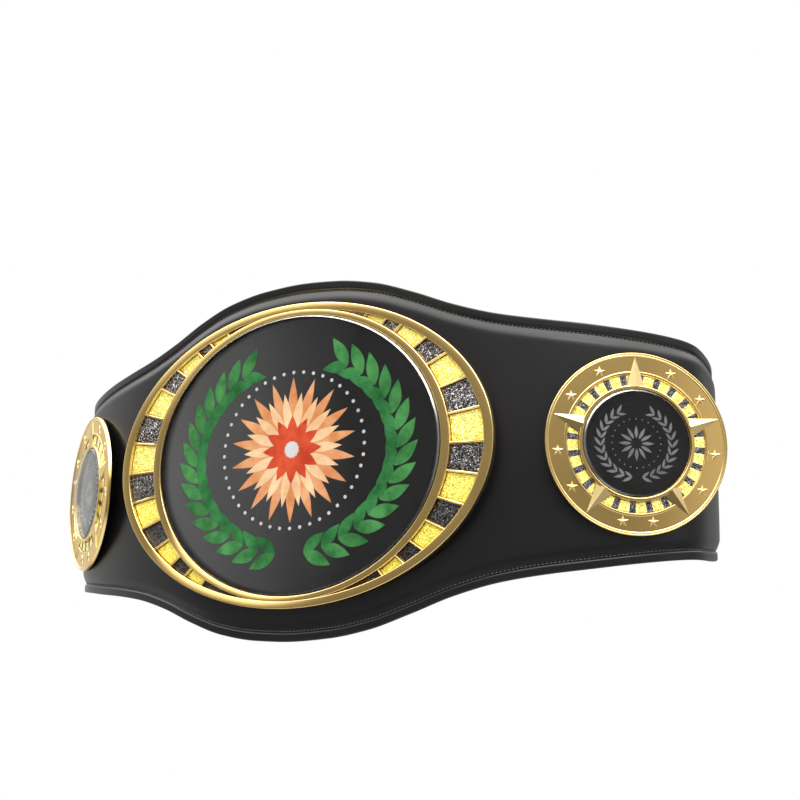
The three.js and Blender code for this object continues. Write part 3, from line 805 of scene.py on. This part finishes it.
def wreath(place, half_size, count, leaf_length, leaf_width, rise=emblem_rise):
    """Pairs of leaves up both sides of an oval, from its foot to near its head, open at the top."""
    outer, inner = [], []
    for side in (-1, 1):
        for turn in np.radians(np.linspace(wreath_foot, wreath_head, count)):
            root = half_size * (side * np.cos(turn), np.sin(turn))
            rising = np.arctan2(-side * np.sin(turn) * half_size[0], np.cos(turn) * half_size[1])
            outer.append(
                leaf(place, root, rising + side * leaf_spread, leaf_length, leaf_width, rise))
            inner.append(
                leaf(place, root, rising - side * leaf_spread, leaf_length * inner_length,
                     leaf_width * inner_width, rise * inner_rise))
    return outer, inner


def rosette(place, middle, count, near, length, width, rise, turn=0.0):
    """A ring of petals that point outwards from round a middle."""
    petals = []
    for heading in (np.arange(count) + turn) * 2 * np.pi / count:
        root = np.array(middle) + near * np.array([np.sin(heading), np.cos(heading)])
        petals.append(leaf(place, root, heading, length, width, rise, petal_crease))
    return petals


def bead_ring(place, middle, half_size, count, radius, rise, columns=10):
    """Low round studs set along an oval: rings of a flat dome from its top down to its foot."""
    share = np.array([0, 0.5, 0.8, 0.95, 1, 1, 0])[:, None]
    lift = np.array([1, 0.97, 0.88, 0.62, 0.3, 0, 0])[:, None] * (rise - emblem_root) + emblem_root
    turns = round_angles(columns)
    beads = []
    for angle in np.arange(count) * 2 * np.pi / count:
        x = middle[0] + half_size[0] * np.cos(angle) + radius * share * np.cos(turns)
        z = middle[1] + half_size[1] * np.sin(angle) + radius * share * np.sin(turns)
        beads.append(shell_on(place, x, lift, z))
    return beads


on_disc = on_face(on_plate, disc_front)
emblem_middle = np.array([0.0, 3.0])
outer_leaves, inner_leaves = wreath(on_disc, wreath_half, 15, 24, 9.5)
emblem = {
    "wreath_outer": outer_leaves,
    "wreath_inner": inner_leaves,
    "petals_long": rosette(on_disc, emblem_middle, 18, 16, 36, 7.6, 0.05),
    "petals_middle": rosette(on_disc, emblem_middle, 18, 12, 29, 7.0, 0.11, 0.5),
    "petals_short": rosette(on_disc, emblem_middle, 12, 4.5, 20.0, 8.5, 0.24),
    "beads": (bead_ring(on_disc, emblem_middle, (58.5, 55.5), 44, 1.3, emblem_rise)
              + bead_ring(on_disc, emblem_middle, (0, 0), 1, 6.2, 0.27, 36)),
}
emblem_pieces = {name: make_piece(f"emblem_{name}", shells, "black_disc", sharp=20)
                 for name, shells in emblem.items()}

# %% [markdown]
# The discs of the side plates carry the same wreath and rosette, small and in one grey ink.

# %% Emblems of the side discs
ink_rise = 0.1
small_emblems = []
for name, side in sides:
    place = on_face(on_side(side), side_disc_front)
    leaves = wreath(place, np.array([24.0, 23.0]), 12, 7.4, 2.0, ink_rise)
    petals = rosette(place, (0, 0), 12, 3.5, 8.5, 2.2, ink_rise)
    studs = bead_ring(place, (0, 0), (16.5, 16.5), 24, 0.5, ink_rise)
    small_emblems.append(make_piece(
        f"{name}_round_emblem", leaves[0] + leaves[1] + petals + studs, "black_disc", sharp=20))

# %% [markdown]
# A finish is a small tree of nodes. One class wraps an output socket, so that sums on it read as
# plain arithmetic and add the Math nodes themselves. Another makes the nodes: each call gives a
# node's kind, its settings and the values or links of its sockets.

# %% Shader arithmetic
class Signal:
    """An output socket of a tree; arithmetic on it adds Math nodes."""

    def __init__(self, tree, socket):
        self.tree, self.socket = tree, socket

    def math(self, operation, *others):
        """A Math node whose first term is this signal."""
        return self.tree.add(
            "Math", {"operation": operation}, dict(enumerate([self, *others])))

    def __add__(self, other): return self.math("ADD", other)
    def __sub__(self, other): return self.math("SUBTRACT", other)
    def __mul__(self, other): return self.math("MULTIPLY", other)
    def __mod__(self, other): return self.math("FLOORED_MODULO", other)
    def __lt__(self, other): return self.math("LESS_THAN", other)
    def __abs__(self): return self.math("ABSOLUTE")
    def __neg__(self): return self.math("MULTIPLY", -1.0)
    def __rsub__(self, other): return -self + other


class Tree:
    """A node tree whose nodes are added one call at a time."""

    def __init__(self, owner):
        owner.use_nodes = True
        self.owner, self.nodes, self.links = owner, owner.node_tree.nodes, owner.node_tree.links

    def put(self, node, sockets):
        for key, value in sockets.items():
            if isinstance(value, Signal):
                self.links.new(value.socket, node.inputs[key])
            else:
                node.inputs[key].default_value = value

    def add(self, kind, settings=None, sockets=None, output=0):
        node = self.nodes.new(f"ShaderNode{kind}")
        for key, value in (settings or {}).items():
            if key == "stops":
                ramp = node.color_ramp.elements
                while len(ramp) < len(value):
                    ramp.new(0.5)
                for stop, (place, colour) in zip(ramp, value):
                    stop.position, stop.color = place, (*colour, 1)
            else:
                setattr(node, key, value)
        self.put(node, sockets or {})
        return Signal(self, node.outputs[output])

    def parts(self, vector):
        """The three numbers of a vector."""
        x = self.add("SeparateXYZ", None, {0: vector})
        return [Signal(self, output) for output in x.socket.node.outputs]

    def vector(self, operation, *terms, output=0, **sockets):
        return self.add("VectorMath", {"operation": operation},
                        {**dict(enumerate(terms)), **sockets}, output)

    def noise(self, vector, scale, detail=2.0, roughness=0.5):
        return self.add("TexNoise", None, {
            "Vector": vector, "Scale": scale, "Detail": detail, "Roughness": roughness})

    def ramp(self, factor, *stops):
        return self.add("ValToRGB", {"stops": stops}, {"Fac": factor})

    def blend(self, factor, one, other):
        """One colour at 0 and the other at 1."""
        return self.add(
            "Mix", {"data_type": "RGBA"}, {0: factor, 6: one, 7: other}, output=2)

    def between(self, value, low, high, to_low=0.0, to_high=1.0, curve="LINEAR"):
        """Carries the range from low to high over to another range, and stays inside it."""
        return self.add("MapRange", {"interpolation_type": curve}, {
            "Value": value, "From Min": low, "From Max": high,
            "To Min": to_low, "To Max": to_high})

    def soft_between(self, *limits):
        """The same along an S-curve."""
        return self.between(*limits, curve="SMOOTHSTEP")


class Finish(Tree):
    """A material with its surface shader."""

    def __init__(self, name):
        super().__init__(bpy.data.materials.new(name))
        self.surface = self.nodes["Principled BSDF"]

    def shine(self, **values):
        """Sets the surface's own sockets; a name's underscores stand for spaces."""
        self.put(self.surface, {key.replace("_", " "): value for key, value in values.items()})
        return self.owner

    def object_place(self):
        return self.add("TexCoord", output="Object")

    def flat_place(self):
        return self.add("UVMap", {"uv_map": "flat"})

    def bump(self, height, distance, strength=1.0):
        return self.add("Bump", None, {
            "Height": height, "Distance": distance, "Strength": strength})


def dress(pieces, material):
    for piece in pieces:
        piece.data.materials.clear()
        piece.data.materials.append(material)
    print(f"{material.name}: on {len(pieces)} pieces")


def named(*names):
    return [bpy.data.objects[name] for name in names]


# %% [markdown]
# The strap is smooth black leather with a satin finish. Cells of a fraction of a millimetre give
# the grain and a slower noise varies the gloss. The flat places hold the distance along the strap
# and the distance from its edge: with them, the leather is drawn into a small pucker at every
# stitch, and its cut edge is painted and shines a little more.

# %% Leather
def leather_finish():
    finish = Finish("black_leather")
    place = finish.object_place()
    run, from_edge, _ = finish.parts(finish.flat_place())
    grain = finish.add("TexVoronoi", {"feature": "SMOOTH_F1"}, {
        "Vector": place, "Scale": 1300.0, "Smoothness": 0.7})
    fine = finish.noise(place, 2400.0, 3.0, 0.6)
    slow = finish.noise(place, 9.0, 3.0)
    wave = (run * (flat_unit * 2 * np.pi / stitch_pitch)).math("COSINE")
    near_seam = finish.soft_between(abs(from_edge * flat_unit - seam_inset), 0.4, 1.9, 1.0, 0.0)
    sewn = finish.soft_between(abs(run * flat_unit), panel_end - 8, panel_end - 3, 1.0, 0.0)
    height = grain * 0.5 + fine * 0.25 + wave * near_seam * sewn * 1.5
    worn = finish.between(from_edge, 0.0, 0.012, 1.0, 0.0)
    colour = finish.ramp(
        slow, (0.35, (0.0040, 0.0037, 0.0042)), (0.7, (0.0064, 0.0056, 0.0058)))
    return finish.shine(
        Base_Color=finish.blend(worn * 0.6, colour, (0.016, 0.015, 0.016, 1)),
        Specular_IOR_Level=0.42,
        Roughness=finish.between(slow, 0.3, 0.7, 0.27, 0.33) - worn * 0.04,
        Normal=finish.bump(height, 0.00007, 0.5))


dress([strap_backing, padded_front], leather_finish())


def thread_finish():
    finish = Finish("dark_thread")
    twist = finish.add("TexWave", {"bands_direction": "DIAGONAL"}, {
        "Vector": finish.object_place(), "Scale": 500.0, "Distortion": 1.5})
    return finish.shine(
        Base_Color=finish.blend(twist, (0.045, 0.044, 0.046, 1), (0.16, 0.157, 0.16, 1)),
        Roughness=0.5,
        Normal=finish.bump(twist, 0.0001, 0.6))


dress([front_stitches, back_stitches], thread_finish())

# %% [markdown]
# The plates are gold-plated castings that were polished on a wheel. The wheel leaves grooves too
# fine to see, all running round the plate. They tilt the surface a little outwards or inwards,
# which draws a highlight out into a broad fan towards the light. The finish does the same: a
# noise that changes quickly with the distance from the plate's middle tilts the normal along the
# outward direction. That direction is worked out from the object's place and the plate's middle.
# Castings are never quite flat either: a bulge and one or two crowns tilt the face by a few
# degrees more. All of this fades where the surface turns away from the plate's front. There the
# raised edges, points and stars are painted a paler gold, a painted highlight for the light on
# them.

# %% Gold
def gold_finish(name, middle, stretch, axis, groove, bulge=0.0, crowns=()):
    """Gold whose grooves run round a middle; stretch makes round grooves oval, axis faces out.

    The bulge tilts the face to the side in step with the distance from the middle. Each crown is
    a way, a start and an amount: the face tilts up by the amount where the way out from the
    middle lies along the crown's way, and less towards directions whose share of it is the start.
    """
    finish = Finish(name)
    place = finish.object_place()
    normal = finish.add("NewGeometry", output="Normal")
    offset = finish.vector("SUBTRACT", place, tuple(middle))
    squeezed = finish.vector("MULTIPLY", offset, tuple(stretch))
    reach = finish.vector("LENGTH", squeezed, output="Value")
    outward = finish.vector("NORMALIZE", squeezed)
    facing = finish.vector("DOT_PRODUCT", normal, tuple(axis), output="Value")
    open_face = finish.between(facing, 0.95, 0.99)
    grooves = finish.add("TexNoise", {"noise_dimensions": "1D"}, {
        "W": reach, "Scale": 9000.0, "Detail": 1.0, "Roughness": 0.6})
    tilt = finish.vector("SCALE", outward, Scale=(grooves - 0.5) * groove * open_face)
    leaned = finish.vector("ADD", normal, tilt)
    sideways = finish.vector("MULTIPLY", offset, (1, 1, 0))
    tilt = finish.vector("SCALE", sideways, Scale=open_face * bulge)
    leaned = finish.vector("ADD", leaned, tilt)
    for way, start, amount in crowns:
        along_way = finish.vector("DOT_PRODUCT", outward, way, output="Value")
        rise = finish.soft_between(along_way, start, 1.0, 0.0, amount) * open_face
        leaned = finish.vector("ADD", leaned, finish.add("CombineXYZ", None, {2: rise}))
    cloud = finish.noise(place, 14.0, 2.0)
    rings = finish.add("TexNoise", {"noise_dimensions": "1D"}, {
        "W": reach, "Scale": 1400.0, "Detail": 2.0, "Roughness": 0.6})
    band = finish.ramp(
        rings * 0.3 + cloud * 0.7, (0.3, (0.82, 0.545, 0.185)), (0.7, (0.88, 0.615, 0.225)))
    # Painted highlight: where the surface turns away from the plate's front, the gold is paler.
    painted_highlight_relief = finish.ramp(cloud, (0.3, (0.93, 0.70, 0.30)), (0.7, (0.98, 0.77, 0.36)))
    return finish.shine(
        Base_Color=finish.blend(open_face, painted_highlight_relief, band),
        Metallic=1.0,
        Roughness=finish.between(cloud, 0.35, 0.65, 0.20, 0.24) + (1 - open_face) * 0.03,
        Normal=finish.vector("NORMALIZE", leaned))


oval_middle = on_plate(0.0, 0.0, 0.0) * mm
groove_shift = np.array([0.045, 0, 0])
top_crown = ((-0.17, 0, 0.985), 0.45, 0.105)
foot_crown = ((-0.17, 0, -0.985), 0.70, 0.26)
oval_gold = gold_finish("polished_gold_oval", oval_middle - groove_shift, (0.75, 0.0, 1.0),
                        (0, -1, 0), 0.15, crowns=(top_crown, foot_crown))
dress([oval_plate], oval_gold)
for name, side in sides:
    centre, turn = side_frame(side)
    round_gold = gold_finish(f"polished_gold_{name}", centre * mm, (1, 1, 1),
                             (np.sin(turn), -np.cos(turn), 0), 0.12, 3.4)
    dress(named(f"{name}_round_plate"), round_gold)
snap_middle = np.array([0, strap_middle * mm, 0])
dress(snaps, gold_finish("polished_gold_snap", snap_middle, (1, 0, 1), (0, 1, 0), 0.2))

# %% [markdown]
# Glitter is thousands of tiny foil flakes in clear resin. Cells of about half a millimetre stand
# for the flakes. Each cell has its own colour and its own tilt, which turns the normal, so that
# some flakes flash and their neighbours stay dark. The flakes are painted darker down the oval
# plate, a painted shade towards its foot, and the resin over them is a thin coat.

# %% Glitter
flake_size = 0.6


def flakes(finish):
    """A random number for each flake, and the normal tilted at random with it."""
    cell = finish.add("TexVoronoi", {"feature": "F1"}, {
        "Vector": finish.object_place(), "Scale": 1000.0 / flake_size, "Randomness": 1.0},
        output="Color")
    value = finish.add("SeparateColor", None, {0: cell})
    tilt = finish.vector("SCALE", finish.vector("SUBTRACT", cell, (0.5, 0.5, 0.5)), Scale=0.95)
    normal = finish.add("NewGeometry", output="Normal")
    return value, finish.vector("NORMALIZE", finish.vector("ADD", normal, tilt))


def gold_flakes(finish, value):
    return finish.ramp(value, (0.0, (0.46, 0.35, 0.02)), (0.25, (0.74, 0.62, 0.07)),
                       (0.75, (0.89, 0.80, 0.18)), (1.0, (1.0, 0.98, 0.68)))


def black_flakes(finish, value):
    return finish.ramp(value, (0.0, (0.004, 0.004, 0.005)), (0.45, (0.016, 0.015, 0.016)),
                       (0.75, (0.16, 0.15, 0.15)), (1.0, (0.75, 0.71, 0.69)))


def glitter_shine(finish, colour, metallic, normal):
    return finish.shine(Base_Color=colour, Metallic=metallic, Roughness=0.35,
                        Coat_Weight=0.25, Coat_Roughness=0.12, Normal=normal)


def glitter_finish(name, colouring, metallic):
    finish = Finish(name)
    value, normal = flakes(finish)
    _, upright, _ = finish.parts(finish.flat_place())
    # Painted shade: the flakes are darker towards the foot of the oval plate.
    value = value * finish.between(upright, -0.75, 0.1, 0.62, 1.0)
    return glitter_shine(finish, colouring(finish, value), metallic, normal)


dress(glitter_fields["gold"], glitter_finish("gold_glitter", gold_flakes, 0.35))
dress(glitter_fields["black"], glitter_finish("black_glitter", black_flakes, 0.6))

# %% [markdown]
# In the ring of a side plate, black and gold squares take turns every fifteen degrees. The angle
# comes from the piece's own flat places, and its remainder by fifteen degrees tells whether a
# place is in a black square. A thin bright line runs where two squares meet.

# %% Squares of the glitter ring
square_pitch = 15.0
first_square = 4.5
half_square = 3.1
square_line = 0.3


def tile_finish():
    finish = Finish("glitter_squares")
    across_plate, upright, _ = finish.parts(finish.flat_place())
    angle = across_plate.math("ARCTAN2", upright) * (180 / np.pi)
    half_pitch = square_pitch / 2
    from_middle = abs((angle - first_square + half_pitch) % square_pitch - half_pitch)
    value, normal = flakes(finish)
    dark = finish.ramp(value, (0.0, (0.004, 0.004, 0.005)), (0.6, (0.02, 0.019, 0.021)),
                       (1.0, (0.30, 0.29, 0.29)))
    colour = finish.blend(from_middle < half_square, gold_flakes(finish, value), dark)
    on_line = abs(from_middle - half_square) < square_line
    colour = finish.blend(on_line, colour, (0.80, 0.66, 0.36, 1))
    return glitter_shine(finish, colour, 0.4, normal)


dress(tile_rings, tile_finish())

# %% [markdown]
# The discs are dark card with a smooth face, and the emblem is enamel whose colour is mottled as
# if it was brushed on. A disc is painted a little paler towards the left, a painted reflection, and
# darker close to its edge, a painted shade of the dome's rim. The domes are clear resin. Resin
# this thin barely bends the light, so it is a see-through shader with a mirror gloss mixed in at
# glancing angles and along its steep rim, where real resin gathers light into a bright line. The
# faint gloss of the level part is given to the discs below, which keeps the picture clean.

# %% Discs, emblems and domes
disc_gloss = 0.3


def share_out(across_disc, upright, half_wide, half_tall):
    """How far out a place lies on an oval: 0 at its middle and 1 at its edge."""
    wide, tall = across_disc * (flat_unit / half_wide), upright * (flat_unit / half_tall)
    return (wide * wide + tall * tall).math("SQRT")


def disc_finish(name, pale, dark, half_wide, half_tall):
    """Painted reflection paler to the left, by a clouded slope, and painted shade dark close to the
    edge.
    """
    finish = Finish(name)
    place = finish.object_place()
    cloud = finish.noise(place, 18.0, 4.0)
    fine = finish.noise(place, 700.0, 2.0)
    painted_reflection_across, upright, _ = finish.parts(finish.flat_place())
    from_middle = share_out(painted_reflection_across, upright, half_wide, half_tall)
    # Painted reflection: paler towards the left, with a clouded edge.
    painted_light_tone = finish.between(painted_reflection_across + (cloud - 0.5) * 0.5, -1.1, 0.5)
    # Painted shade of the dome's rim: darker close to the disc's edge.
    painted_light_tone = painted_light_tone.math("MAXIMUM", finish.soft_between(from_middle, 0.93, 0.995))
    colour = finish.ramp(
        painted_light_tone, (0.0, (pale, pale, pale * 1.03)), (1.0, (dark, dark * 0.96, dark * 1.02)))
    return finish.shine(
        Specular_IOR_Level=disc_gloss,
        Base_Color=colour,
        Roughness=finish.between(fine, 0.3, 0.7, 0.10, 0.14))


def enamel_finish(name, light, dark):
    finish = Finish(name)
    place = finish.object_place()
    mottle = finish.noise(place, 60.0, 5.0, 0.65)
    return finish.shine(
        Base_Color=finish.ramp(mottle, (0.34, dark), (0.66, light)),
        Specular_IOR_Level=disc_gloss,
        Roughness=0.2,
        Normal=finish.bump(finish.noise(place, 500.0, 2.0), 0.00004, 0.5))


def dome_finish(name, half_wide, half_tall, rim, lit_way):
    """Clear but for its gloss; the steep rim shines towards the lit way."""
    finish = Finish(name)
    clear = finish.add("BsdfTransparent", None, {"Color": (0.97, 0.97, 0.965, 1)})
    across_disc, upright, _ = finish.parts(finish.flat_place())
    share = share_out(across_disc, upright, half_wide, half_tall)
    to_lit = (across_disc * (flat_unit / half_wide * lit_way[0])
              + upright * (flat_unit / half_tall * lit_way[1]))
    lit = finish.between(to_lit, -0.2, 0.95, 0.03, 0.55)
    rim_start, rim_full = 1 - np.array([0.85, 0.35]) * rim / half_wide
    near_rim = finish.soft_between(share, rim_start, rim_full)
    inside = finish.add("NewGeometry", output="Backfacing")
    gloss = finish.between(finish.add("Fresnel", None, {"IOR": 1.40}), 0.034, 1.0)
    haze = finish.noise(finish.object_place(), 25.0, 2.0)
    finish.shine(Base_Color=(1, 1, 1, 1), Metallic=1.0,
                 Roughness=finish.between(haze, 0.3, 0.7, 0.010, 0.022))
    mixed = finish.add("MixShader", None, {
        0: gloss.math("MAXIMUM", near_rim * lit) * (1 - inside), 1: clear,
        2: Signal(finish, finish.surface.outputs[0])})
    finish.put(finish.nodes["Material Output"], {"Surface": mixed})
    return finish.owner


side_half = (side_edge, side_edge)
side_dome_rim_width = 2.2
dress([oval_disc], disc_finish("dark_disc", 0.062, 0.0110, *disc_edge))
dress(named("left_round_disc", "right_round_disc"),
      disc_finish("dark_round_disc", 0.0120, 0.0100, *side_half))
dress([oval_dome], dome_finish("clear_resin_oval", *disc_edge, dome_round, (0.45, 0.89)))
dress(named("left_round_dome", "right_round_dome"),
      dome_finish("clear_resin_round", *side_half, side_dome_rim_width, (-0.97, 0.25)))
enamels = {
    "wreath_outer": enamel_finish("green_enamel", (0.052, 0.20, 0.058), (0.014, 0.085, 0.022)),
    "wreath_inner": enamel_finish("deep_green_enamel", (0.032, 0.16, 0.048), (0.008, 0.064, 0.016)),
    "petals_long": enamel_finish("orange_enamel", (0.54, 0.28, 0.14), (0.42, 0.15, 0.050)),
    "petals_middle": enamel_finish("cream_enamel", (0.60, 0.45, 0.29), (0.52, 0.30, 0.15)),
    "petals_short": enamel_finish("red_enamel", (0.47, 0.065, 0.024), (0.30, 0.026, 0.010)),
    "beads": enamel_finish("pale_enamel", (0.46, 0.46, 0.46), (0.36, 0.36, 0.37)),
}
for name, finish in enamels.items():
    dress([emblem_pieces[name]], finish)
dress(small_emblems, enamel_finish("grey_ink", (0.16, 0.16, 0.165), (0.10, 0.10, 0.105)))

# %% [markdown]
# The belt is lit as in a white studio with the camera's side left dim. The surroundings are a
# function of direction: bright overhead, less so to the sides, dim in front, below and far right,
# with a soft glow straight below. That gives the gold its dark and bright stretches and the
# leather its highlight along the upper shoulder. The camera itself sees plain white. Two soft
# boxes, overhead and to the right, add a little shape, and the pale floor is far below.

# %% Floor, light and surroundings
floor_depth = -0.62
floor_mesh = bpy.data.meshes.new("floor")
floor_corners = [(x, y, floor_depth) for x, y in ((-6, -6), (6, -6), (6, 6), (-6, 6))]
floor_mesh.from_pydata(floor_corners, [], [(0, 1, 2, 3)])
floor = bpy.data.objects.new("floor", floor_mesh)
bpy.context.collection.objects.link(floor)
floor_look = Finish("pale_floor")
floor_cloud = floor_look.noise(floor_look.object_place(), 1.5)
dress([floor], floor_look.shine(
    Base_Color=floor_look.ramp(floor_cloud, (0.3, (0.80, 0.80, 0.80)), (0.7, (0.84, 0.84, 0.84))),
    Roughness=0.9))


def soft_box(name, place, target, width, height, watts):
    light = bpy.data.lights.new(name, "AREA")
    light.shape, light.size, light.size_y, light.energy = "RECTANGLE", width, height, watts
    lamp = bpy.data.objects.new(name, light)
    away = (Vector(place) - Vector(target)).normalized()
    turn = away.to_track_quat("Z", "Y").to_matrix().to_4x4()
    lamp.matrix_world = Matrix.Translation(place) @ turn
    bpy.context.collection.objects.link(lamp)
    print(f"{name}: {watts} W")


floor.visible_glossy = False
soft_box("overhead_box", (0.1, -0.45, 1.3), (0, 0, 0), 1.5, 0.6, 6)
soft_box("key_box", (0.9, -1.1, 1.0), (0, -0.1, 0), 0.5, 0.5, 4.5)

studio = bpy.data.worlds.new("studio")
bpy.context.scene.world = studio
sky = Tree(studio)
across_room, into_room, up = sky.parts(sky.add("TexCoord", output="Generated"))
ahead = sky.soft_between(-into_room, 0.05, 0.72)
overhead = sky.soft_between(up, 0.34, 0.74)
below = sky.soft_between(-up, 0.12, 0.6)
floor_glow = sky.soft_between(-up, 0.5, 0.85)
far_right = sky.soft_between(across_room * 0.6 + into_room * 0.8, 0.25, 0.85)
level = ((1 - ahead) * 0.56 + 0.27) * (1 - far_right * 0.5)
glow = level * (1 - below * 0.75) + overhead * 3.5 + floor_glow * 0.9
room = sky.nodes["Background"]
sky.put(room, {"Color": (1.0, 0.99, 0.975, 1), "Strength": glow})
plain_white = sky.add("Background", None, {"Color": (1, 1, 1, 1), "Strength": 1.0})
seen = sky.add("LightPath", output="Is Camera Ray")
sky.put(sky.nodes["World Output"], {"Surface": sky.add("MixShader", None, {
    0: seen, 1: Signal(sky, room.outputs[0]), 2: plain_white})})
bpy.context.scene.view_settings.view_transform = "Standard"
